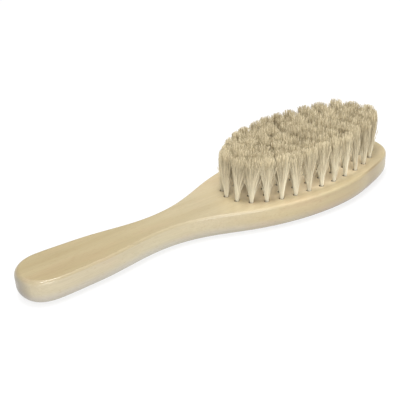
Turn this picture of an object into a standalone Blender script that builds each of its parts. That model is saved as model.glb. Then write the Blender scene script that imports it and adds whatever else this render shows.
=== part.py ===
"""Handled clothes brush: a flat beech body drilled with blind holes, each holding one bristle tuft.

Units are metres. +X runs from the handle to the head, +Z is the side the bristles stand on, and
the brush lies on its flat back with the origin under the middle of its length. The wood is
symmetric about the XZ plane. The tufts stand upright in three oval rings and one straight row
inside them, drilled by eye: near the handle the rings are rounder on their +Y side.
"""

import math

import bmesh
import bpy
import numpy as np
from mathutils import Matrix, Vector

# ---- driving dimensions: the wooden body -----------------------------------------------------
LENGTH = 0.225
THICKNESS = 0.013
HANDLE_END_RADIUS = 0.0147          # radius of the plan outline at the tip of the handle
HEAD_END_RADIUS = 0.022             # radius of the plan outline at the tip of the head
# Half-widths along the body: (distance from the handle's tip, half-width)
HALF_WIDTHS = (
    (0.018, 0.0135),                # fullest part of the handle
    (0.040, 0.0124),
    (0.068, 0.0086),                # neck
    (0.095, 0.0121),
    (0.117, 0.0214),
    (0.140, 0.0285),
    (0.162, 0.0311),                # fullest part of the head
    (0.185, 0.0291),
    (0.207, 0.0221),
)
TOP_EDGE_RADIUS = 0.0013            # small round where the top face meets the side
TIP_EDGE_RADIUS = 0.0028            # the same round at the tip of the handle
TIP_EDGE_REACH = 0.014              # length of handle over which the round grows to that
BACK_EDGE_RADIUS = 0.0058           # large round where the side meets the flat back
TOP_EDGE_STEPS = 2                  # facets across each round
BACK_EDGE_STEPS = 4
STATIONS = 44                       # outline points along each side

# ---- driving dimensions: the drilled field and its tufts --------------------------------------
FIELD_CENTRE = 0.1668               # middle of the field, from the handle's tip
OUTER_HALF_LENGTH = 0.0503          # outer ring, along the brush
OUTER_HALF_WIDTH = 0.0232           # outer ring, across the brush
RING_SPACING = 0.0077               # from one ring to the next
RIGHT_NECK_FULLNESS = (2.5, 2.9, 3.6)  # exponent of each ring's oval near the handle, -Y side
LEFT_NECK_FULLNESS = (1.9, 2.2, 2.7)   # the same on the +Y side
TIP_FULLNESS = (2.0, 2.4, 3.2)         # and near the head's tip, on both sides
CROWDING = 0.15                     # tufts stand closer near the handle and wider near the tip
RING_TUFTS = (28, 22, 16)           # outer, middle and inner ring
FINE_STEPS = 400                    # steps used to measure the length walked along a ring
ROW_TUFTS = 6                       # straight row along the centre line
ROW_HALF_LENGTH = 0.0230            # from the field's middle to the row's end tufts

HOLE_RADIUS = 0.0015
HOLE_DEPTH = 0.008
HOLE_SIDES = 10
GAP = 0.0003                        # clearance between a tuft and the wood around it
TUFT_ROOT_RADIUS = 0.0011
TUFT_SIDES = 8
TUFT_HEIGHT_NECK = 0.0225           # bristle length above the wood at the handle's side
TUFT_HEIGHT_TIP = 0.025             # and at the tip of the head
TUFT_LEVELS = (0.0, 0.35, 0.7, 1.0)   # loops of a tuft's flared part, as fractions of its height
FLARE_POWER = 0.85                  # how early the tuft opens out above its hole
TIP_FILL = 0.77                     # share of the free room that a tuft's tip takes up
JOINED_FILL = 1.1                   # the same where tips are matted into the next tuft
PAIR_PULL = 0.14                    # how far paired tips bend to each other, per tuft spacing

# ---- colours ---------------------------------------------------------------------------------
BEECH = (0.64, 0.50, 0.29)
BRISTLE = (0.55, 0.46, 0.31)


def clear_scene():
    """Remove whatever the open file holds."""
    for thing in list(bpy.data.objects):
        bpy.data.objects.remove(thing, do_unlink=True)


def make_material(name, colour, roughness):
    """A Principled material with a plain colour."""
    material = bpy.data.materials.new(name)
    material.use_nodes = True
    shader = material.node_tree.nodes["Principled BSDF"]
    shader.inputs["Base Color"].default_value = (*colour, 1.0)
    shader.inputs["Roughness"].default_value = roughness
    shader.inputs["Metallic"].default_value = 0.0
    material.diffuse_color = (*colour, 1.0)
    return material


def beech_material():
    """Pale beech under clear lacquer."""
    return make_material("lacquered_beech", BEECH, 0.35)


def bristle_material():
    """Natural bristle."""
    return make_material("natural_bristle", BRISTLE, 0.7)


def make_object(name, mesh_builder, material):
    """Turn a bmesh into a named object with one material."""
    bmesh.ops.recalc_face_normals(mesh_builder, faces=mesh_builder.faces)
    mesh = bpy.data.meshes.new(name)
    mesh_builder.to_mesh(mesh)
    mesh_builder.free()
    mesh.materials.append(material)
    thing = bpy.data.objects.new(name, mesh)
    bpy.context.scene.collection.objects.link(thing)
    return thing


def shade(thing, angle):
    """Smooth the round surfaces and keep the edges sharper than the given angle."""
    thing.data.shade_smooth()
    thing.data.set_sharp_from_angle(angle=angle)


def combine(target, tool, operation):
    """Cut the tool out of the target, or join it on, and remove the tool."""
    modifier = target.modifiers.new(operation.lower(), "BOOLEAN")
    modifier.operation = operation
    modifier.solver = "EXACT"
    modifier.object = tool
    depsgraph = bpy.context.evaluated_depsgraph_get()
    result = bpy.data.meshes.new_from_object(target.evaluated_get(depsgraph))
    target.modifiers.clear()
    target.data = result
    result.name = target.name
    bpy.data.objects.remove(tool, do_unlink=True)


# ---- the plan outline --------------------------------------------------------------------------
def natural_spline(knots, values):
    """A natural cubic spline through the given points, returned as a function."""
    knots = np.array(knots)
    values = np.array(values)
    steps = np.diff(knots)
    count = len(knots)
    system = np.eye(count)
    right = np.zeros(count)
    for i in range(1, count - 1):
        system[i, i - 1:i + 2] = (steps[i - 1], 2.0 * (steps[i - 1] + steps[i]), steps[i])
        rises = (values[i + 1] - values[i]) / steps[i] - (values[i] - values[i - 1]) / steps[i - 1]
        right[i] = 6.0 * rises
    bends = np.linalg.solve(system, right)

    def spline(x):
        i = min(max(int(np.searchsorted(knots, x)) - 1, 0), count - 2)
        before = knots[i + 1] - x
        after = x - knots[i]
        step = steps[i]
        curve = (bends[i] * before ** 3 + bends[i + 1] * after ** 3) / (6.0 * step)
        line = (values[i] / step - bends[i] * step / 6.0) * before
        line += (values[i + 1] / step - bends[i + 1] * step / 6.0) * after
        return float(curve + line)

    return spline


def fullness_spline():
    """Half-width divided by sqrt(x (L - x)), which stays smooth where the ends round off."""
    knots = [0.0]
    values = [math.sqrt(2.0 * HANDLE_END_RADIUS / LENGTH)]
    for x, half_width in HALF_WIDTHS:
        knots.append(x)
        values.append(half_width / math.sqrt(x * (LENGTH - x)))
    knots.append(LENGTH)
    values.append(math.sqrt(2.0 * HEAD_END_RADIUS / LENGTH))
    return natural_spline(knots, values)


def plan_outline():
    """Points of the closed outline seen from above, as (x, y), counter-clockwise."""
    fullness = fullness_spline()
    side = []
    for i in range(STATIONS + 1):
        x = LENGTH * (1.0 - math.cos(math.pi * i / STATIONS)) / 2.0
        half_width = math.sqrt(max(x * (LENGTH - x), 0.0)) * fullness(x)
        side.append((x - LENGTH / 2.0, half_width))
    lower = [(x, -y) for x, y in side]
    upper = side[-2:0:-1]
    return lower + upper


def outward_normals(outline):
    """Unit normals of a closed counter-clockwise outline."""
    normals = []
    for i, _ in enumerate(outline):
        before = Vector(outline[i - 1])
        after = Vector(outline[(i + 1) % len(outline)])
        along = (after - before).normalized()
        normals.append(Vector((along.y, -along.x)))
    return normals


def top_edge_radius(x):
    """Radius of the top edge, which is rounder at the tip of the handle."""
    share = min(max(1.0 - (x + LENGTH / 2.0) / TIP_EDGE_REACH, 0.0), 1.0)
    growth = share * share * (3.0 - 2.0 * share)
    return TOP_EDGE_RADIUS + (TIP_EDGE_RADIUS - TOP_EDGE_RADIUS) * growth


def edge_section(top_radius):
    """(inset, height) of the points of the edge, from the back face up to the top face."""
    section = []
    for step in range(BACK_EDGE_STEPS + 1):
        angle = math.radians(90.0) * step / BACK_EDGE_STEPS
        inset = BACK_EDGE_RADIUS * (1.0 - math.sin(angle))
        section.append((inset, BACK_EDGE_RADIUS * (1.0 - math.cos(angle))))
    for step in range(TOP_EDGE_STEPS + 1):
        angle = math.radians(90.0) * step / TOP_EDGE_STEPS
        inset = top_radius * (1.0 - math.cos(angle))
        section.append((inset, THICKNESS - top_radius * (1.0 - math.sin(angle))))
    return section


def skin_loops(builder, loops):
    """Join neighbouring loops with quads and close the first and last loop with a face."""
    for lower, upper in zip(loops, loops[1:]):
        for i, vertex in enumerate(lower):
            builder.faces.new((lower[i - 1], vertex, upper[i], upper[i - 1]))
    builder.faces.new(loops[0])
    builder.faces.new(loops[-1])


# ---- where the tufts stand ---------------------------------------------------------------------
def oval_point(angle, ring, neck_fullness):
    """Point of half an oval ring; angle 0 is the end nearest the handle, and pi the head's end."""
    half_length = OUTER_HALF_LENGTH - ring * RING_SPACING
    half_width = OUTER_HALF_WIDTH - ring * RING_SPACING
    power = neck_fullness if math.cos(angle) > 0.0 else TIP_FULLNESS[ring]
    x = -half_length * math.copysign(abs(math.cos(angle)) ** (2.0 / power), math.cos(angle))
    y = half_width * abs(math.sin(angle)) ** (2.0 / power)
    return Vector((FIELD_CENTRE - LENGTH / 2.0 + x, y))


def half_ring(ring, neck_fullness):
    """Evenly walked places along the +Y half of a ring, both end places included."""
    angles = [math.pi * i / FINE_STEPS for i in range(FINE_STEPS + 1)]
    fine = [oval_point(angle, ring, neck_fullness) for angle in angles]
    walked = np.cumsum([0.0] + [(b - a).length for a, b in zip(fine, fine[1:])])
    half_count = RING_TUFTS[ring] // 2
    places = []
    for i in range(half_count + 1):
        share = i / half_count
        share = share * (1.0 - CROWDING) + share * share * CROWDING
        x = float(np.interp(share * walked[-1], walked, [p.x for p in fine]))
        y = float(np.interp(share * walked[-1], walked, [p.y for p in fine]))
        places.append(Vector((x, y)))
    places[0].y = 0.0
    places[-1].y = 0.0
    return places


def ring_places(ring):
    """Places round one ring, from the handle's end along the -Y half and back along the other."""
    right = half_ring(ring, RIGHT_NECK_FULLNESS[ring])
    left = half_ring(ring, LEFT_NECK_FULLNESS[ring])
    return [Vector((p.x, -p.y)) for p in right] + left[-2:0:-1]


def row_places():
    """Places along the centre line."""
    start = FIELD_CENTRE - LENGTH / 2.0 - ROW_HALF_LENGTH
    step = 2.0 * ROW_HALF_LENGTH / (ROW_TUFTS - 1)
    return [Vector((start + step * i, 0.0)) for i in range(ROW_TUFTS)]


def ring_directions(places):
    """Unit outward directions at the places of a closed ring."""
    count = len(places)
    directions = []
    for i, _ in enumerate(places):
        along = (places[(i + 1) % count] - places[i - 1]).normalized()
        directions.append(Vector((along.y, -along.x)))
    return directions


def tuft_height(place):
    """Bristle length above the wood, which grows from the handle's side to the tip."""
    start = FIELD_CENTRE - LENGTH / 2.0 - OUTER_HALF_LENGTH
    share = (place.x - start) / (2.0 * OUTER_HALF_LENGTH)
    return TUFT_HEIGHT_NECK + (TUFT_HEIGHT_TIP - TUFT_HEIGHT_NECK) * share


def make_tuft_plan(place, outward, along_radius, across_radius):
    """What is needed to build one tuft and its hole."""
    return {
        "place": place,
        "outward": outward,
        "pull": Vector((0.0, 0.0)),
        "along": along_radius,
        "across": across_radius,
    }


def ring_plans(ring):
    """Tuft plans for one ring."""
    places = ring_places(ring)
    directions = ring_directions(places)
    across = RING_SPACING / 2.0 * TIP_FILL
    plans = []
    for i, place in enumerate(places):
        before = (place - places[i - 1]).length
        after = (place - places[(i + 1) % len(places)]).length
        along = min(before, after) / 2.0 * TIP_FILL
        plans.append(make_tuft_plan(place, directions[i], along, across))
    return plans


def pair_up(plans):
    """Group neighbouring tufts in twos, with their tips pulled together until they meet."""
    pairs = []
    for first, second in zip(plans[0::2], plans[1::2]):
        between = second["place"] - first["place"]
        first["pull"] = between * PAIR_PULL
        second["pull"] = -between * PAIR_PULL
        for plan in (first, second):
            plan["outward"] = Vector((between.y, -between.x)).normalized()
            plan["along"] = between.length / 2.0 * TIP_FILL
        pairs.append((first, second))
    return pairs


def row_plans():
    """Tuft plans for the straight row, whose tips run into each other."""
    places = row_places()
    spacing = (places[1] - places[0]).length
    across = RING_SPACING / 2.0 * TIP_FILL
    side = Vector((0.0, 1.0))
    return [make_tuft_plan(p, side, spacing / 2.0 * JOINED_FILL, across) for p in places]


# ---- the pieces --------------------------------------------------------------------------------
def add_hole(builder, plan):
    """Add one drill-shaped cutter that comes out through the top face."""
    length = HOLE_DEPTH + 2.0 * HOLE_RADIUS
    middle = Vector((plan["place"].x, plan["place"].y, THICKNESS - HOLE_DEPTH + length / 2.0))
    bmesh.ops.create_cone(
        builder,
        cap_ends=True,
        segments=HOLE_SIDES,
        radius1=HOLE_RADIUS,
        radius2=HOLE_RADIUS,
        depth=length,
        matrix=Matrix.Translation(middle),
    )


def make_body(plans, material):
    """The wooden body: a plan outline with rounded edges, drilled for every tuft."""
    outline = plan_outline()
    normals = outward_normals(outline)
    builder = bmesh.new()
    sections = [edge_section(top_edge_radius(x)) for x, _ in outline]
    loops = []
    for level in zip(*sections):
        loop = []
        for (x, y), normal, (inset, height) in zip(outline, normals, level):
            loop.append(builder.verts.new((x - normal.x * inset, y - normal.y * inset, height)))
        loops.append(loop)
    skin_loops(builder, loops)
    body = make_object("brush_body", builder, material)

    cutter_builder = bmesh.new()
    for plan in plans:
        add_hole(cutter_builder, plan)
    combine(body, make_object("hole_cutter", cutter_builder, material), "DIFFERENCE")
    shade(body, math.radians(30.0))
    return body


def add_tuft(builder, plan):
    """Add one tuft: a round root down its hole, opening out to an oval tip."""
    place = plan["place"]
    outward = plan["outward"]
    along = Vector((-outward.y, outward.x))
    height = tuft_height(place)
    loops = []
    for level in (-1.0,) + TUFT_LEVELS:
        if level < 0.0:
            rise = GAP - HOLE_DEPTH
            open_share = 0.0
        else:
            rise = level * height
            open_share = level ** (1.0 / FLARE_POWER) if level > 0.0 else 0.0
        middle = place + plan["pull"] * open_share
        along_radius = TUFT_ROOT_RADIUS + (plan["along"] - TUFT_ROOT_RADIUS) * open_share
        across_radius = TUFT_ROOT_RADIUS + (plan["across"] - TUFT_ROOT_RADIUS) * open_share
        loop = []
        for side in range(TUFT_SIDES):
            angle = 2.0 * math.pi * side / TUFT_SIDES
            point = middle + along * math.cos(angle) * along_radius
            point += outward * math.sin(angle) * across_radius
            loop.append(builder.verts.new((point.x, point.y, THICKNESS + rise)))
        loops.append(loop)
    skin_loops(builder, loops)


def make_tufts(name, plans, material):
    """One tuft, or several whose tips run into each other, as one closed piece."""
    builder = bmesh.new()
    for plan in plans[0::2]:
        add_tuft(builder, plan)
    tufts = make_object(name, builder, material)
    if len(plans) > 1:
        joined_builder = bmesh.new()
        for plan in plans[1::2]:
            add_tuft(joined_builder, plan)
        combine(tufts, make_object("joined_tufts", joined_builder, material), "UNION")
    shade(tufts, math.radians(50.0))
    return tufts


def main():
    clear_scene()
    beech = beech_material()
    bristle = bristle_material()

    outer = ring_plans(0)
    middle = ring_plans(1)
    inner_pairs = pair_up(ring_plans(2))
    row = row_plans()

    every_plan = outer + middle + [plan for pair in inner_pairs for plan in pair] + row
    make_body(every_plan, beech)
    for number, plan in enumerate(outer, 1):
        make_tufts(f"outer_tuft_{number:02d}", [plan], bristle)
    for number, plan in enumerate(middle, 1):
        make_tufts(f"middle_tuft_{number:02d}", [plan], bristle)
    for number, pair in enumerate(inner_pairs, 1):
        make_tufts(f"inner_tuft_pair_{number}", pair, bristle)
    make_tufts("centre_tuft_row", row, bristle)


main()
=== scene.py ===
"""Looks of the handled clothes brush: lacquered beech, loose natural bristles, studio light."""

import math

import bmesh
import bpy
import numpy as np
from mathutils import Matrix, Vector


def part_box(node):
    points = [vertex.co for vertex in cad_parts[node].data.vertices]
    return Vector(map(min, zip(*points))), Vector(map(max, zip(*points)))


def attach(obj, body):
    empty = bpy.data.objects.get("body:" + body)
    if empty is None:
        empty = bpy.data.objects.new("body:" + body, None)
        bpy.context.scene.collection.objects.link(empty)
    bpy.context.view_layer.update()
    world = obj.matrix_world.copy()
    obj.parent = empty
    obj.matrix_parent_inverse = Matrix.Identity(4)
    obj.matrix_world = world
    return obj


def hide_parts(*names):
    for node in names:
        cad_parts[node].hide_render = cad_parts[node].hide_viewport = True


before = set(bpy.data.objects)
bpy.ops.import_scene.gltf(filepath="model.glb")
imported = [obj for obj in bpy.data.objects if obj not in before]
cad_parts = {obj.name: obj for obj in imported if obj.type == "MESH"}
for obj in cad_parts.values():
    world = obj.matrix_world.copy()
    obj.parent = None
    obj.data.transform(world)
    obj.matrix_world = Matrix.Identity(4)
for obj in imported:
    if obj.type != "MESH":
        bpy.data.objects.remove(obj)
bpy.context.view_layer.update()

# ---- the wooden body, as the frame's own solid is shaped ---------------------------------------
BODY_LOW, BODY_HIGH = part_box("brush_body")
LENGTH = BODY_HIGH[0] - BODY_LOW[0]
THICKNESS = BODY_HIGH[2] - BODY_LOW[2]
HANDLE_END_RADIUS = 0.0147
HEAD_END_RADIUS = 0.022
HALF_WIDTHS = (                   # (distance from the handle's end, half-width)
    (0.018, 0.0135),
    (0.040, 0.0124),
    (0.068, 0.0086),
    (0.095, 0.0121),
    (0.117, 0.0214),
    (0.140, 0.0285),
    (0.162, 0.0311),
    (0.185, 0.0291),
    (0.207, 0.0221),
)
TOP_EDGE_RADIUS = 0.0013
TIP_EDGE_RADIUS = 0.0028          # the same round at the tip of the handle
TIP_EDGE_REACH = 0.014            # length of handle over which it grows to that
BACK_EDGE_RADIUS = 0.0058
STATIONS = 150
TOP_EDGE_STEPS = 6
BACK_EDGE_STEPS = 12
HOLE_RADIUS = 0.00132
HOLE_DEPTH = 0.008
HOLE_SIDES = 20
SHARP_ANGLE = math.radians(40.0)  # folds sharper than this, such as the holes' rims, stay crisp

# ---- colour drift and painted light and shade on the wood, as factors of its base colour ---------
TOP_TINT = (                      # (share of the length, factor) on the top face, partly painted light and shade
    (0.08, (0.66, 0.635, 0.565)),
    (0.20, (0.695, 0.675, 0.615)),
    (0.31, (0.73, 0.72, 0.69)),
    (0.45, (0.79, 0.79, 0.80)),
    (0.60, (1.00, 0.975, 0.955)),
    (0.75, (0.925, 0.905, 0.875)),
)
WALL_TINT = (                     # (share of the length, factor) on the walls: painted shade and painted reflection
    (0.0, (0.47, 0.50, 0.63)),
    (0.012, (0.78, 0.80, 0.97)),
    (0.15, (0.79, 0.81, 0.98)),
    (0.31, (0.82, 0.85, 1.00)),
    (0.45, (0.785, 0.785, 0.90)),
    (0.58, (0.745, 0.72, 0.72)),
    (0.80, (0.635, 0.595, 0.56)),
    (0.92, (0.64, 0.61, 0.59)),
    (0.98, (0.70, 0.69, 0.68)),
)
RISE_SHADE = (                     # (share of the thickness, factor) up the walls: painted shade, darker and greyer towards the bottom
    (0.15, (0.71, 0.75, 0.74)),
    (0.31, (0.87, 0.915, 0.98)),
    (0.54, (0.955, 0.96, 0.87)),
    (0.70, (1.00, 1.00, 0.90)),
)
EDGE_SHADE = 0.90                # painted shade along the rounded top edge, which tones down its highlight
EDGE_SHADE_FROM = 0.6                 # where it starts, as a share of the edge's round below the top
EDGE_SHADE_TO = 0.1                   # and where it ends
GAP_LIGHT_BEECH = (1.00, 0.84, 0.57)  # painted light: paler, warmer wood between the tufts, where the bristles shade it
GAP_LIGHT_REACH = (1.0, 0.85)         # where it starts and is full, as shares of the outer ring
HOLE_SHADE = (0.16, 0.10, 0.05)    # painted shade: the holes' walls painted dark
HOLE_SHADE_REACH = (1.16, 1.12)      # the same for the holes, which reach beyond the ring
HOLE_RIM = 0.0002                 # depth over which the painted shade in a hole's wall sets in

# ---- bristles -----------------------------------------------------------------------------------
STRANDS = 340                     # bristles in one tuft
STRAND_POINTS = 10
STRAND_SIDES = 3
STRAND_FOOT = -0.28               # where a bristle starts in its hole, as a share of its height
TUFT_PROFILE = (                  # (share of the height, radius of the bundle)
    (0.00, 0.00086),
    (0.15, 0.00112),
    (0.35, 0.00163),
    (0.50, 0.00215),
    (0.65, 0.00282),
    (0.80, 0.00362),
    (1.00, 0.00465),
)
STRAND_RADIUS_ROOT = 0.000095
STRAND_RADIUS_TIP = 0.00007
STRAND_UNEVEN = (0.8, 1.2)        # thinnest and thickest bristle, against those radii
ROOT_TOLERANCE = 0.0002           # how far from the top face a point of a tuft's root may be
ROOT_JITTER = 0.12                # unevenness of the bristles round the bundle, in radians
OUTER_WIDTH = 0.90                # width of an outer tuft's top, against one inside the ring
OUTER_DOME = 0.08                 # how much shorter the bristles at an outer tuft's rim are
INNER_DOME = 0.03                 # and those of a tuft inside the outer ring
DOME_POWER = 5.0                  # and how flat that leaves the middle of its top
OUTER_SPREAD = 0.09               # spread of the bristle lengths below an outer tuft's longest
INNER_SPREAD = 0.11               # and inside the outer ring
LENGTH_LIMITS = (0.6, 1.05)       # shortest and longest bristle, against its tuft
TUFT_UNEVEN = 0.016               # spread of whole tufts' lengths
TUFT_SLANT = 0.02                 # spread of the slant of a tuft's trimmed top
TUFT_LEAN = 0.00055               # how far a whole tuft's tips are off to one side
WANDER = 0.25                     # how far a tip strays from above its root
WAVE = 0.00016                    # size of a bristle's own waviness
WAVE_COUNT = (0.5, 1.3)           # fewest and most waves along one bristle
CLUMPS = 90                       # little points that the tips of a tuft gather into
CLUMP_AREA = (0.02, 1.0)          # part of the tuft's top that they lie on, as shares of its area
GATHER = (0.0, 0.4)               # least and most that a tip is drawn to its clump
STRAY_SHARE = 0.04                # bristles that stand out of their tuft
STRAY_REACH = (0.1, 0.75)         # how far beyond the rim they reach, as shares of the radius
OUTER_KEEP = 0.45                 # how far the outer ring's tufts open outward, against inward
NECK_DRIFT = 0.0015               # how far the tips at the handle's end bend towards the head
TIP_DRIFT = 0.0016                # and those at the head's end bend outward
DRIFT_REACH = 0.015               # length of the field over which that bend fades out
TIP_WEAR = 0.0030                 # how much shorter the bristles are worn at the head's end
NECK_WEAR = 0.0026                # and at the handle's end, on the +Y side
LOCK_TONE = 0.18                  # spread of tone from one clump of tips to the next
STRAND_TONE = 0.24                # and from one bristle to the next
TUFT_TONE = 0.06                  # and from one tuft to the next
MEAN_TONE = 0.48                  # 0 is the darkest bristle and 1 the lightest
TONE_LIMITS = (0.02, 0.98)
HEAD_END_SHADE = -0.08             # painted shade: change of tone from the field's middle to the head's end
FAR_SIDE_SHADE = -0.07                  # painted shade: change of tone from the field's middle to its +Y side
HOLE_SIDE = Vector((0.00034, 0.00012, 0.0))   # the tufts sit against one side of their holes
GOLDEN_ANGLE = math.pi * (3.0 - math.sqrt(5.0))     # spreads the bristles evenly over a disc
ACROSS = np.array([0.31, 0.95, 0.05])               # a direction that no bristle runs along
SEED = 11

# ---- wire anchors -------------------------------------------------------------------------------
ANCHOR_WIDTH = 0.0026
ANCHOR_HEIGHT = 0.0016
ANCHOR_THICKNESS = 0.0003
ANCHOR_RISE = 0.0009              # height above the hole's bottom, where the bristles fold under it
ANCHOR_BEVEL = 0.00008

# ---- camera, light and floor --------------------------------------------------------------------
CAMERA_TARGET = Vector((0.00566, 0.02606, 0.0))
CAMERA_AZIMUTH = math.radians(-34.65)
CAMERA_ELEVATION = math.radians(27.48)
CAMERA_DISTANCE = 0.4329
CAMERA_ROLL = math.radians(-3.0)
CAMERA_LENS = 71.45

SKY_FRONT = 0.1                   # strength of the sky on the near side
SKY_BACK = 0.15                   # on the far side
SKY_TOP = 1.1                     # overhead
SKY_HORIZON = 0.82                # and behind the floor's edge
SKY_TURN = (-0.3, 0.3)            # where along Y the near side turns into the far side
SKY_TOP_START = (0.55, 0.8)       # from what height the overhead part starts and is full
SKY_HORIZON_START = (0.32, 0.22)  # and the horizon, downward
FLOOR_HALF_SIDE = 4.0
FLOOR_ALBEDO = 0.20
FLOOR_GLOW = 0.775
LIGHT_TARGET = (0.0, 0.0, 0.01)
SOFTBOXES = (                     # (name, direction from the brush, distance, size, watts)
    ("top_softbox", (0.0, 0.05, 1.0), 1.0, 0.40, 6.7),
    ("front_softbox", (-0.28, -0.90, 0.28), 1.2, 0.80, 10.6),
    ("handle_softbox", (-0.44, -0.25, 0.85), 1.0, 0.16, 1.6),
)


# ---- node helpers -------------------------------------------------------------------------------
def new_material(name):
    """A new material, its node tree and its Principled shader."""
    material = bpy.data.materials.new(name)
    material.use_nodes = True
    tree = material.node_tree
    return material, tree, tree.nodes["Principled BSDF"]


def add_node(tree, kind, inputs=None, **settings):
    """Add a node, set its properties and fill or link its inputs."""
    node = tree.nodes.new(kind)
    for key, value in settings.items():
        setattr(node, key, value)
    for key, value in (inputs or {}).items():
        if isinstance(value, bpy.types.NodeSocket):
            tree.links.new(value, node.inputs[key])
        else:
            node.inputs[key].default_value = value
    return node


def add_ramp(tree, factor, stops):
    """A colour ramp with the given (position, colour) stops."""
    node = add_node(tree, "ShaderNodeValToRGB", {"Fac": factor})
    ramp = node.color_ramp
    ramp.elements[0].position, ramp.elements[0].color = stops[0][0], (*stops[0][1], 1.0)
    ramp.elements[1].position, ramp.elements[1].color = stops[-1][0], (*stops[-1][1], 1.0)
    for position, colour in stops[1:-1]:
        element = ramp.elements.new(position)
        element.color = (*colour, 1.0)
    return node.outputs["Color"]


def mix_colour(tree, factor, first, second, blend="MIX"):
    """Mix two colours. The colour sockets share their names with others, so they go by number."""
    node = tree.nodes.new("ShaderNodeMix")
    node.data_type = "RGBA"
    node.blend_type = blend
    for socket, value in ((0, factor), (6, first), (7, second)):
        if isinstance(value, bpy.types.NodeSocket):
            tree.links.new(value, node.inputs[socket])
        elif isinstance(value, tuple):
            node.inputs[socket].default_value = (*value, 1.0)
        else:
            node.inputs[socket].default_value = value
    return node.outputs[2]


def fibres(tree, where, scale, detail=2.0, distortion=0.0):
    """Noise drawn out along the grain. The scale is in features per metre along X, Y and Z."""
    mapping = add_node(tree, "ShaderNodeMapping", {"Vector": where, "Scale": scale})
    noise = add_node(tree, "ShaderNodeTexNoise", {
        "Vector": mapping.outputs["Vector"], "Scale": 1.0, "Detail": detail,
        "Distortion": distortion,
    })
    return noise.outputs["Fac"]


def grey(value):
    """A grey as a colour."""
    return (value, value, value)


# ---- setting the stage ---------------------------------------------------------------------------
def add_camera():
    """The camera that sees the brush from above the handle's end, a little to the near side."""
    flat = math.cos(CAMERA_ELEVATION)
    back = Vector((
        math.sin(CAMERA_AZIMUTH) * flat,
        -math.cos(CAMERA_AZIMUTH) * flat,
        math.sin(CAMERA_ELEVATION),
    ))
    right = (-back).cross(Vector((0.0, 0.0, 1.0))).normalized()
    up = back.cross(right)
    turned_right = right * math.cos(CAMERA_ROLL) + up * math.sin(CAMERA_ROLL)
    turned_up = up * math.cos(CAMERA_ROLL) - right * math.sin(CAMERA_ROLL)
    data = bpy.data.cameras.new("camera")
    data.lens = CAMERA_LENS
    data.sensor_width = 36.0
    data.clip_start = 0.01
    data.clip_end = 50.0
    camera = bpy.data.objects.new("camera", data)
    bpy.context.scene.collection.objects.link(camera)
    place = CAMERA_TARGET + back * CAMERA_DISTANCE
    turn = Matrix((turned_right, turned_up, back)).transposed().to_4x4()
    camera.matrix_world = Matrix.Translation(place) @ turn
    bpy.context.scene.camera = camera


def add_softbox(name, place, size, watts):
    """A square soft light aimed at the brush."""
    data = bpy.data.lights.new(name, "AREA")
    data.shape = "SQUARE"
    data.size = size
    data.energy = watts
    light = bpy.data.objects.new(name, data)
    bpy.context.scene.collection.objects.link(light)
    light.location = place
    direction = Vector(LIGHT_TARGET) - place
    light.rotation_euler = direction.to_track_quat("-Z", "Y").to_euler()


def add_sky(world):
    """Even light from the near side, the far side and overhead, and a pale horizon."""
    world.use_nodes = True
    tree = world.node_tree
    background = tree.nodes["Background"]
    direction = add_node(tree, "ShaderNodeTexCoord").outputs["Generated"]
    split = add_node(tree, "ShaderNodeSeparateXYZ", {"Vector": direction})
    sides = add_node(tree, "ShaderNodeMapRange", {
        "Value": split.outputs["Y"], "From Min": SKY_TURN[0], "From Max": SKY_TURN[1],
        "To Min": SKY_FRONT, "To Max": SKY_BACK,
    })
    above = add_node(tree, "ShaderNodeMapRange", {
        "Value": split.outputs["Z"],
        "From Min": SKY_TOP_START[0], "From Max": SKY_TOP_START[1],
    })
    raised = add_node(tree, "ShaderNodeMix", {
        "Factor": above.outputs["Result"], "A": sides.outputs["Result"], "B": SKY_TOP,
    })
    slope = add_node(tree, "ShaderNodeMath", {0: split.outputs["Z"]}, operation="ABSOLUTE")
    level = add_node(tree, "ShaderNodeMapRange", {
        "Value": slope.outputs[0],
        "From Min": SKY_HORIZON_START[0], "From Max": SKY_HORIZON_START[1],
    })
    strength = add_node(tree, "ShaderNodeMix", {
        "Factor": level.outputs["Result"], "A": raised.outputs["Result"], "B": SKY_HORIZON,
    })
    background.inputs["Color"].default_value = (1.0, 1.0, 1.0, 1.0)
    tree.links.new(strength.outputs["Result"], background.inputs["Strength"])


def add_studio():
    """White surroundings and soft lights."""
    world = bpy.data.worlds.new("studio")
    bpy.context.scene.world = world
    add_sky(world)
    for name, direction, distance, size, watts in SOFTBOXES:
        place = Vector(direction).normalized() * distance
        add_softbox(name, place, size, watts)


def add_floor():
    """A faintly glowing white table, which is the stage and not part of the brush."""
    builder = bmesh.new()
    bmesh.ops.create_grid(builder, x_segments=1, y_segments=1, size=FLOOR_HALF_SIDE)
    mesh = bpy.data.meshes.new("floor")
    builder.to_mesh(mesh)
    builder.free()
    floor = bpy.data.objects.new("floor", mesh)
    bpy.context.scene.collection.objects.link(floor)
    material, _, shader = new_material("floor_paper")
    shader.inputs["Base Color"].default_value = (*grey(FLOOR_ALBEDO), 1.0)
    shader.inputs["Emission Color"].default_value = (1.0, 1.0, 1.0, 1.0)
    shader.inputs["Emission Strength"].default_value = FLOOR_GLOW
    shader.inputs["Roughness"].default_value = 0.9
    shader.inputs["Specular IOR Level"].default_value = 0.1
    mesh.materials.append(material)


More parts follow.
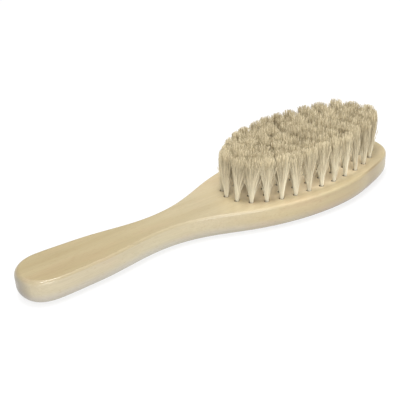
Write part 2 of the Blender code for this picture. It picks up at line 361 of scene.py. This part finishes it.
# ---- materials ----------------------------------------------------------------------------------
def drift_light_and_shade_tint(tree, where):
    """Slow drift of the colour along the length, with painted light and shade on top, walls and
    edge.
    """
    split = add_node(tree, "ShaderNodeSeparateXYZ", {"Vector": where})
    along = add_node(tree, "ShaderNodeMapRange", {
        "Value": split.outputs["X"], "From Min": BODY_LOW[0], "From Max": BODY_HIGH[0],
    }).outputs["Result"]
    height = add_node(tree, "ShaderNodeMapRange", {
        "Value": split.outputs["Z"], "From Min": BODY_LOW[2], "From Max": BODY_HIGH[2],
    }).outputs["Result"]
    # painted shade and painted reflection on the walls: greyer than the top, darker at the handle's
    # tip and towards the head's end
    wall = add_ramp(tree, along, WALL_TINT)
    # painted shade up the walls: darker and greyer towards the bottom
    wall = mix_colour(tree, 1.0, wall, add_ramp(tree, height, RISE_SHADE), "MULTIPLY")
    edge = TOP_EDGE_RADIUS / THICKNESS
    upper = add_ramp(tree, height, ((1.0 - edge, grey(0.0)), (1.0, grey(1.0))))
    # the top face's tint: darker along the handle and lighter on the head, partly painted light and
    # shade
    tint = mix_colour(tree, upper, wall, add_ramp(tree, along, TOP_TINT))
    # painted shade on the rounded top edge, which tones down its highlight
    edge_shade = add_ramp(tree, height, (
        (1.0 - edge, grey(1.0)),
        (1.0 - EDGE_SHADE_FROM * edge, grey(EDGE_SHADE)),
        (1.0 - EDGE_SHADE_TO * edge, grey(EDGE_SHADE)),
        (1.0, grey(1.0)),
    ))
    return mix_colour(tree, 1.0, tint, edge_shade, "MULTIPLY")


def drilled_field(tree, where, reaches, facing):
    """Mask of painted light and shade: 1 inside the drilled oval and 0 outside, on the top face or
    in the holes.

    The oval fades between two reaches, as shares of the outer ring's. Facing is 1 for the top
    face and -1 for what lies under it.
    """
    middle, half_length, half_width = field_oval()
    mapping = add_node(tree, "ShaderNodeMapping", {
        "Vector": where,
        "Location": (-middle / half_length, 0.0, 0.0),
        "Scale": (1.0 / half_length, 1.0 / half_width, 0.0),
    })
    reach = add_node(tree, "ShaderNodeVectorMath", {0: mapping.outputs["Vector"]},
                     operation="LENGTH")
    oval = add_node(tree, "ShaderNodeMapRange", {
        "Value": reach.outputs["Value"], "From Min": reaches[0], "From Max": reaches[1],
    }).outputs["Result"]
    split = add_node(tree, "ShaderNodeSeparateXYZ", {"Vector": where})
    level = add_node(tree, "ShaderNodeMapRange", {
        "Value": split.outputs["Z"],
        "From Min": BODY_HIGH[2] - HOLE_RIM * (1.0 + facing),
        "From Max": BODY_HIGH[2] - HOLE_RIM * (1.0 - facing),
    }).outputs["Result"]
    return add_node(tree, "ShaderNodeMath", {0: oval, 1: level}, operation="MULTIPLY").outputs[0]


def beech_material():
    """Pale beech under clear lacquer: faint growth bands, warm patches, fibres, ray flecks, painted
    light and shade.
    """
    material, tree, shader = new_material("lacquered_beech")
    where = add_node(tree, "ShaderNodeTexCoord").outputs["Object"]

    bands = fibres(tree, where, (7.0, 95.0, 95.0), detail=4.0, distortion=0.5)
    base = add_ramp(tree, bands, (
        (0.30, (0.536, 0.441, 0.262)),
        (0.50, (0.572, 0.479, 0.295)),
        (0.70, (0.602, 0.510, 0.324)),
    ))
    patches = fibres(tree, where, (22.0, 80.0, 80.0))
    warm = add_ramp(tree, patches, ((0.52, grey(0.0)), (0.70, grey(0.42))))
    base = mix_colour(tree, warm, base, (0.604, 0.446, 0.289))

    threads = fibres(tree, where, (55.0, 1500.0, 1500.0))
    thread_tone = add_ramp(tree, threads, ((0.35, grey(0.93)), (0.65, grey(1.0))))
    base = mix_colour(tree, 1.0, base, thread_tone, "MULTIPLY")
    rays = fibres(tree, where, (420.0, 2600.0, 1500.0), detail=0.0)
    flecks = add_ramp(tree, rays, ((0.68, grey(0.0)), (0.78, grey(0.3))))
    base = mix_colour(tree, flecks, base, (0.42, 0.29, 0.15))
    # painted light and shade along the length and up the walls, over the wood's own drift of colour
    base = mix_colour(tree, 1.0, base, drift_light_and_shade_tint(tree, where), "MULTIPLY")
    # painted light: paler, warmer wood between the tufts, where the bristles shade it
    gap_light = drilled_field(tree, where, GAP_LIGHT_REACH, 1.0)
    base = mix_colour(tree, gap_light, base, GAP_LIGHT_BEECH)
    # painted shade: the holes' walls painted dark below their rims
    drilled = drilled_field(tree, where, HOLE_SHADE_REACH, -1.0)
    base = mix_colour(tree, drilled, base, HOLE_SHADE)
    tree.links.new(base, shader.inputs["Base Color"])

    rough = add_node(tree, "ShaderNodeMapRange", {
        "Value": threads, "From Min": 0.3, "From Max": 0.7, "To Min": 0.38, "To Max": 0.5,
    })
    tree.links.new(rough.outputs["Result"], shader.inputs["Roughness"])
    bump = add_node(tree, "ShaderNodeBump", {
        "Height": threads, "Strength": 0.06, "Distance": 0.0002,
    })
    tree.links.new(bump.outputs["Normal"], shader.inputs["Normal"])
    shader.inputs["Coat Weight"].default_value = 0.5
    shader.inputs["Coat Roughness"].default_value = 0.12
    return material


def bristle_material():
    """Natural bristle. In its map, U tells one bristle's tone and V runs from root to tip."""
    material, tree, shader = new_material("natural_bristle")
    where = add_node(tree, "ShaderNodeUVMap", uv_map="OFBake").outputs["UV"]
    split = add_node(tree, "ShaderNodeSeparateXYZ", {"Vector": where})
    light = add_ramp(tree, split.outputs["Y"], (
        (0.15, (0.77, 0.72, 0.57)),
        (0.40, (0.88, 0.82, 0.63)),
        (0.75, (0.88, 0.79, 0.57)),
        (1.0, (0.69, 0.60, 0.405)),
    ))
    dark = add_ramp(tree, split.outputs["Y"], (
        (0.25, (0.74, 0.66, 0.48)),
        (0.60, (0.55, 0.46, 0.31)),
        (1.0, (0.27, 0.21, 0.115)),
    ))
    colour = mix_colour(tree, split.outputs["X"], dark, light)
    tree.links.new(colour, shader.inputs["Base Color"])
    shader.inputs["Roughness"].default_value = 0.5
    shader.inputs["Specular IOR Level"].default_value = 0.4
    return material


def wire_material():
    """Galvanised wire: grey metal with cloudy zinc spangle."""
    material, tree, shader = new_material("galvanised_wire")
    where = add_node(tree, "ShaderNodeTexCoord").outputs["Object"]
    cloud = add_node(tree, "ShaderNodeTexNoise", {"Vector": where, "Scale": 900.0, "Detail": 2.0})
    colour = add_ramp(tree, cloud.outputs["Fac"], (
        (0.3, (0.40, 0.41, 0.42)),
        (0.7, (0.58, 0.59, 0.60)),
    ))
    tree.links.new(colour, shader.inputs["Base Color"])
    shader.inputs["Metallic"].default_value = 1.0
    shader.inputs["Roughness"].default_value = 0.45
    return material


# ---- making the wooden body ----------------------------------------------------------------------
def natural_spline(knots, values):
    """A natural cubic spline through the given points, returned as a function."""
    knots = np.array(knots)
    values = np.array(values)
    steps = np.diff(knots)
    count = len(knots)
    system = np.eye(count)
    right = np.zeros(count)
    for i in range(1, count - 1):
        system[i, i - 1:i + 2] = (steps[i - 1], 2.0 * (steps[i - 1] + steps[i]), steps[i])
        rises = (values[i + 1] - values[i]) / steps[i] - (values[i] - values[i - 1]) / steps[i - 1]
        right[i] = 6.0 * rises
    bends = np.linalg.solve(system, right)

    def spline(x):
        i = min(max(int(np.searchsorted(knots, x)) - 1, 0), count - 2)
        before = knots[i + 1] - x
        after = x - knots[i]
        step = steps[i]
        curve = (bends[i] * before ** 3 + bends[i + 1] * after ** 3) / (6.0 * step)
        line = (values[i] / step - bends[i] * step / 6.0) * before
        line += (values[i + 1] / step - bends[i + 1] * step / 6.0) * after
        return float(curve + line)

    return spline


def plan_outline():
    """Points of the closed outline seen from above, counter-clockwise, as (x, y)."""
    knots = [0.0]
    values = [math.sqrt(2.0 * HANDLE_END_RADIUS / LENGTH)]
    for x, half_width in HALF_WIDTHS:
        knots.append(x)
        values.append(half_width / math.sqrt(x * (LENGTH - x)))
    knots.append(LENGTH)
    values.append(math.sqrt(2.0 * HEAD_END_RADIUS / LENGTH))
    fullness = natural_spline(knots, values)
    side = []
    for i in range(STATIONS + 1):
        x = LENGTH * (1.0 - math.cos(math.pi * i / STATIONS)) / 2.0
        half_width = math.sqrt(max(x * (LENGTH - x), 0.0)) * fullness(x)
        side.append((x + BODY_LOW[0], half_width))
    return np.array([(x, -y) for x, y in side] + side[-2:0:-1])


def outward_normals(outline):
    """Unit normals of a closed counter-clockwise outline."""
    along = np.roll(outline, -1, axis=0) - np.roll(outline, 1, axis=0)
    along /= np.linalg.norm(along, axis=1)[:, None]
    return np.column_stack([along[:, 1], -along[:, 0]])


def top_edge_radius(x):
    """Radius of the top edge, which is rounder at the tip of the handle."""
    share = np.clip(1.0 - (x - BODY_LOW[0]) / TIP_EDGE_REACH, 0.0, 1.0)
    growth = share * share * (3.0 - 2.0 * share)
    return TOP_EDGE_RADIUS + (TIP_EDGE_RADIUS - TOP_EDGE_RADIUS) * growth


def edge_levels(outline):
    """(insets, heights) of each loop round the body, from the back face up to the top face."""
    levels = []
    for step in range(BACK_EDGE_STEPS + 1):
        angle = math.pi / 2.0 * step / BACK_EDGE_STEPS
        inset = BACK_EDGE_RADIUS * (1.0 - math.sin(angle))
        height = BACK_EDGE_RADIUS * (1.0 - math.cos(angle))
        levels.append((np.full(len(outline), inset), np.full(len(outline), height)))
    radii = top_edge_radius(outline[:, 0])
    for step in range(TOP_EDGE_STEPS + 1):
        angle = math.pi / 2.0 * step / TOP_EDGE_STEPS
        insets = radii * (1.0 - math.cos(angle))
        levels.append((insets, THICKNESS - radii * (1.0 - math.sin(angle))))
    return levels


def link_mesh(name, mesh, material):
    """Put a mesh in the scene with its material."""
    mesh.materials.append(material)
    piece = bpy.data.objects.new(name, mesh)
    bpy.context.scene.collection.objects.link(piece)
    return piece


def body_mesh():
    """The body without its holes: loops of points from the back face up to the top face."""
    outline = plan_outline()
    normals = outward_normals(outline)
    builder = bmesh.new()
    loops = []
    for insets, heights in edge_levels(outline):
        ring = np.column_stack([outline - normals * insets[:, None], BODY_LOW[2] + heights])
        loops.append([builder.verts.new(point) for point in ring])
    for lower, upper in zip(loops, loops[1:]):
        for i, vertex in enumerate(lower):
            builder.faces.new((lower[i - 1], vertex, upper[i], upper[i - 1]))
    builder.faces.new(loops[0])
    builder.faces.new(loops[-1])
    bmesh.ops.recalc_face_normals(builder, faces=builder.faces)
    mesh = bpy.data.meshes.new("beech_body")
    builder.to_mesh(mesh)
    builder.free()
    return mesh


def drill_mesh(roots):
    """One upright drill for each hole, which stands out of the top face."""
    builder = bmesh.new()
    length = HOLE_DEPTH + 2.0 * HOLE_RADIUS
    for root in roots:
        middle = root + Vector((0.0, 0.0, length / 2.0 - HOLE_DEPTH))
        bmesh.ops.create_cone(
            builder,
            cap_ends=True,
            segments=HOLE_SIDES,
            radius1=HOLE_RADIUS,
            radius2=HOLE_RADIUS,
            depth=length,
            matrix=Matrix.Translation(middle),
        )
    mesh = bpy.data.meshes.new("hole_cutter")
    builder.to_mesh(mesh)
    builder.free()
    return mesh


def make_body(roots, material):
    """The beech body with its rounded edges and drilled holes."""
    body = link_mesh("beech_body", body_mesh(), material)
    cutter = link_mesh("hole_cutter", drill_mesh(roots), material)
    drill = body.modifiers.new("drill", "BOOLEAN")
    drill.operation = "DIFFERENCE"
    drill.solver = "EXACT"
    drill.object = cutter
    depsgraph = bpy.context.evaluated_depsgraph_get()
    drilled = bpy.data.meshes.new_from_object(body.evaluated_get(depsgraph))
    body.modifiers.clear()
    body.data = drilled
    bpy.data.objects.remove(cutter, do_unlink=True)
    drilled.shade_smooth()
    drilled.set_sharp_from_angle(angle=SHARP_ANGLE)
    weights = body.modifiers.new("even_normals", "WEIGHTED_NORMAL")
    weights.keep_sharp = True
    return body


# ---- where the frame's tufts stand ---------------------------------------------------------------
def loop_centres(points):
    """Middles of the separate small loops among the points."""
    groups = []
    for point in points:
        for group in groups:
            if (group[0] - point).length < 2.0 * HOLE_RADIUS:
                group.append(point)
                break
        else:
            groups.append([point])
    return [sum(group, Vector()) / len(group) for group in groups]


def tuft_roots(node):
    """Where each tuft of one node of the frame comes out of the wood's top face."""
    vertices = [v.co.copy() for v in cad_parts[node].data.vertices]
    unique = {tuple(round(c, 6) for c in v): v for v in vertices}.values()
    return loop_centres([v for v in unique if abs(v.z - BODY_HIGH[2]) < ROOT_TOLERANCE])


def field_oval():
    """Middle along x, half-length and half-width of the drilled field."""
    low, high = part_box("outer_tuft_01"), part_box("outer_tuft_15")
    start = (low[0][0] + low[1][0]) / 2.0
    end = (high[0][0] + high[1][0]) / 2.0
    sides = [abs(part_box(node)[0][1]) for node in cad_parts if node.startswith("outer_tuft")]
    return (start + end) / 2.0, (end - start) / 2.0, max(sides)


def trim_line():
    """Height of the tips above the wood as a straight line along x, from the end tufts."""
    ends = []
    for node in ("outer_tuft_01", "outer_tuft_15"):
        low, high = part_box(node)
        ends.append(((low[0] + high[0]) / 2.0, high[2] - BODY_HIGH[2]))
    (x0, h0), (x1, h1) = ends
    return lambda x: h0 + (h1 - h0) * (x - x0) / (x1 - x0)


# ---- making the bristles -------------------------------------------------------------------------
def bundle_radius(share):
    """Radius of a tuft at a share of its height."""
    heights, radii = zip(*TUFT_PROFILE)
    return np.interp(share, heights, radii)


def mesh_from_faces(name, vertices, corners, sizes):
    """A mesh from its points, the point at every face's corners and every face's corner count."""
    starts = np.concatenate([[0], np.cumsum(sizes)[:-1]])
    mesh = bpy.data.meshes.new(name)
    mesh.vertices.add(len(vertices))
    mesh.vertices.foreach_set("co", vertices.ravel())
    mesh.loops.add(len(corners))
    mesh.loops.foreach_set("vertex_index", corners.astype(np.int32))
    mesh.polygons.add(len(sizes))
    mesh.polygons.foreach_set("loop_start", starts.astype(np.int32))
    mesh.polygons.foreach_set("loop_total", sizes.astype(np.int32))
    mesh.update(calc_edges=True)
    mesh.validate()
    return mesh


def strand_points(paths, radii):
    """The points of thin tapering tubes along the paths, ring by ring."""
    along = np.gradient(paths, axis=1)
    along /= np.linalg.norm(along, axis=2)[:, :, None]
    first = np.cross(along, ACROSS)
    first /= np.linalg.norm(first, axis=2)[:, :, None]
    second = np.cross(along, first)
    rings = []
    for side in range(STRAND_SIDES):
        angle = 2.0 * math.pi * side / STRAND_SIDES
        offset = first * math.cos(angle) + second * math.sin(angle)
        rings.append(paths + offset * radii[:, :, None])
    return np.stack(rings, axis=2).reshape(-1, 3)


def strand_faces(count, points, tones):
    """Corners, corner counts and map of the tubes' faces.

    In the map, U is a strand's tone and V runs from its foot to its tip.
    """
    def index(strand, point, side):
        return (strand * points + point) * STRAND_SIDES + side % STRAND_SIDES

    strand = np.arange(count)
    quads = []
    shares = []
    for point in range(points - 1):
        for side in range(STRAND_SIDES):
            quads.append(np.stack([
                index(strand, point, side),
                index(strand, point, side + 1),
                index(strand, point + 1, side + 1),
                index(strand, point + 1, side),
            ], axis=1))
            low = point / (points - 1)
            high = (point + 1) / (points - 1)
            shares.append(np.tile([low, low, high, high], (count, 1)))
    quads = np.concatenate(quads)
    shares = np.concatenate(shares)
    quad_tones = np.tile(tones, (points - 1) * STRAND_SIDES)[:, None].repeat(4, axis=1)

    sides = range(STRAND_SIDES)
    foot_caps = np.stack([index(strand, 0, STRAND_SIDES - 1 - s) for s in sides], axis=1)
    tip_caps = np.stack([index(strand, points - 1, s) for s in sides], axis=1)
    cap_tones = np.repeat(tones, STRAND_SIDES)
    corners = np.concatenate([quads.ravel(), foot_caps.ravel(), tip_caps.ravel()])
    sizes = np.concatenate([np.full(len(quads), 4), np.full(2 * count, STRAND_SIDES)])
    u = np.concatenate([quad_tones.ravel(), cap_tones, cap_tones])
    v = np.concatenate([shares.ravel(), np.zeros(len(cap_tones)), np.ones(len(cap_tones))])
    return corners, sizes, np.stack([u, v], axis=1)


def strand_mesh(name, paths, radii, tones):
    """One mesh of bristles. Paths is strands x points x 3, and radii strands x points."""
    corners, sizes, places = strand_faces(paths.shape[0], paths.shape[1], tones)
    mesh = mesh_from_faces(name, strand_points(paths, radii), corners, sizes)
    layer = mesh.uv_layers.new(name="OFBake")
    layer.data.foreach_set("uv", places.ravel().astype(np.float32))
    mesh.shade_smooth()
    return mesh


def disc_points(turn, reach):
    """Points of a disc as rows of (x, y)."""
    return np.stack([np.cos(turn), np.sin(turn)], axis=1) * reach[:, None]


def gather_tips(random, tips):
    """The clump that each tip is nearest to, and that clump's tone."""
    turn = random.uniform(0.0, 2.0 * math.pi, CLUMPS)
    clumps = disc_points(turn, np.sqrt(random.uniform(*CLUMP_AREA, CLUMPS)))
    distance = ((tips[:, None] - clumps[None]) ** 2).sum(axis=2)
    nearest = np.argmin(distance, axis=1)
    return clumps[nearest], random.normal(0.0, LOCK_TONE, CLUMPS)[nearest]


def strand_lengths(random, tips, height, dome, spread):
    """Bristle lengths of one tuft: a slightly domed, slanted and ragged trim."""
    reach = np.sqrt((tips ** 2).sum(axis=1))
    lengths = 1.0 + random.normal(0.0, TUFT_UNEVEN) - dome * reach ** DOME_POWER
    lengths += tips @ random.normal(0.0, TUFT_SLANT, 2)
    lengths -= np.abs(random.normal(0.0, spread, len(tips)))
    return height * np.clip(lengths + spread / 2.0, *LENGTH_LIMITS)


def tuft_strands(random, root, height, outward, drift, tone):
    """Paths, radii and tones of one upright tuft's bristles."""
    place = np.array(root + HOLE_SIDE)
    lean = random.normal(0.0, TUFT_LEAN, 2) + (drift, 0.0)
    reach = np.sqrt((np.arange(STRANDS) + 0.5) / STRANDS)
    turn = np.arange(STRANDS) * GOLDEN_ANGLE + random.normal(0.0, ROOT_JITTER, STRANDS)
    stray = random.random(STRANDS) < STRAY_SHARE
    roots = disc_points(turn, reach)
    width = 1.0 if outward is None else OUTER_WIDTH
    tips = (roots + random.normal(0.0, WANDER, (STRANDS, 2))) * width
    tips = tips * (1.0 + stray * random.uniform(*STRAY_REACH, STRANDS))[:, None]
    clumps, lock_tones = gather_tips(random, tips)
    gather = random.uniform(*GATHER, STRANDS)[:, None] * ~stray[:, None]
    if outward is None:
        lengths = strand_lengths(random, tips, height, INNER_DOME, INNER_SPREAD)
    else:
        lengths = strand_lengths(random, tips, height, OUTER_DOME, OUTER_SPREAD)

    wave_size = random.normal(0.0, WAVE, (STRANDS, 2))
    wave_phase = random.uniform(0.0, 2.0 * math.pi, (STRANDS, 2))
    wave_count = random.uniform(*WAVE_COUNT, (STRANDS, 2))
    shares = np.concatenate([[STRAND_FOOT], np.linspace(0.0, 1.0, STRAND_POINTS - 1)])
    paths = np.zeros((STRANDS, STRAND_POINTS, 3))
    for k, share in enumerate(shares):
        up = max(share, 0.0)
        mixed = roots * (1.0 - up) + tips * up
        mixed = mixed + (clumps - mixed) * gather * up ** 2
        flat = mixed * bundle_radius(up)
        flat = flat + wave_size * np.sin(wave_phase + wave_count * 2.0 * math.pi * up) * up
        if outward is not None:
            beyond = np.clip(flat @ outward, 0.0, None) * (1.0 - OUTER_KEEP) * up
            flat = flat - beyond[:, None] * outward[None]
        paths[:, k, :2] = place[:2] + flat + lean * up ** 1.5
        paths[:, k, 2] = place[2] + lengths * share
    taper = np.clip(shares, 0.0, 1.0)
    radii = STRAND_RADIUS_ROOT + (STRAND_RADIUS_TIP - STRAND_RADIUS_ROOT) * taper
    radii = radii[None, :] * random.uniform(*STRAND_UNEVEN, STRANDS)[:, None]
    tones = tone + lock_tones + random.normal(0.0, STRAND_TONE, STRANDS)
    return paths, radii, np.clip(tones, *TONE_LIMITS)


def end_bends(root, field):
    """How far a tuft's tips are off its root along x, and how far its length is worn down."""
    middle, half_length, half_width = field
    from_neck = root.x - middle + half_length
    from_tip = middle + half_length - root.x
    at_neck = max(1.0 - from_neck / DRIFT_REACH, 0.0)
    at_tip = max(1.0 - from_tip / DRIFT_REACH, 0.0)
    left = max(root.y / half_width, 0.0) * max(1.0 - from_neck / half_length, 0.0)
    worn = TIP_WEAR * at_tip ** 2 + NECK_WEAR * left
    return NECK_DRIFT * at_neck + TIP_DRIFT * at_tip, worn


def make_bristles(node, roots, trim, field, material, random):
    """The loose bristles that stand for one node of the frame."""
    middle, half_length, half_width = field
    tufts = []
    for root in roots:
        drift, worn = end_bends(root, field)
        outward = None
        if node.startswith("outer_tuft"):
            outward = np.array(((root.x - middle) / half_length ** 2, root.y / half_width ** 2))
            outward /= np.linalg.norm(outward)
        height = trim(root.x) - worn
        tone = random.normal(MEAN_TONE, TUFT_TONE)
        # painted shade: tufts darker towards the head's end and the +Y side, lighter towards the
        # neck and near side
        tone += HEAD_END_SHADE * (root.x - middle) / half_length + FAR_SIDE_SHADE * root.y / half_width
        tufts.append(tuft_strands(random, root, height, outward, drift, tone))
    paths, radii, tones = [np.concatenate(part) for part in zip(*tufts)]
    name = "bristles_" + node
    return link_mesh(name, strand_mesh(name, paths, radii, tones), material)


# ---- making the wire anchors ---------------------------------------------------------------------
def make_anchors(roots, material):
    """Flat wire anchors that hold the folded bristles at the bottoms of the holes."""
    builder = bmesh.new()
    size = Matrix.Diagonal((ANCHOR_WIDTH, ANCHOR_THICKNESS, ANCHOR_HEIGHT, 1.0))
    for root in roots:
        foot = root - Vector((0.0, 0.0, HOLE_DEPTH - ANCHOR_RISE - ANCHOR_HEIGHT / 2.0))
        bmesh.ops.create_cube(builder, size=1.0, matrix=Matrix.Translation(foot) @ size)
    bmesh.ops.bevel(
        builder,
        geom=list(builder.edges),
        offset=ANCHOR_BEVEL,
        segments=2,
        affect="EDGES",
    )
    mesh = bpy.data.meshes.new("wire_anchors")
    builder.to_mesh(mesh)
    builder.free()
    return link_mesh("wire_anchors", mesh, material)


# ---- build --------------------------------------------------------------------------------------
def main():
    """Set the stage, then make every piece and tell the frame what it rides on and replaces."""
    bpy.context.scene.view_settings.view_transform = "Standard"
    add_camera()
    add_studio()
    add_floor()

    beech = beech_material()
    bristle = bristle_material()
    random = np.random.default_rng(SEED)
    trim = trim_line()
    field = field_oval()
    every_root = []
    for node in sorted(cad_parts):
        if node == "brush_body":
            continue
        roots = tuft_roots(node)
        piece = make_bristles(node, roots, trim, field, bristle, random)
        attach(piece, "root")
        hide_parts(node)
        every_root += roots

    body = make_body(every_root, beech)
    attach(body, "root")
    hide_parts("brush_body")

    anchors = make_anchors(every_root, wire_material())
    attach(anchors, "root")


main()
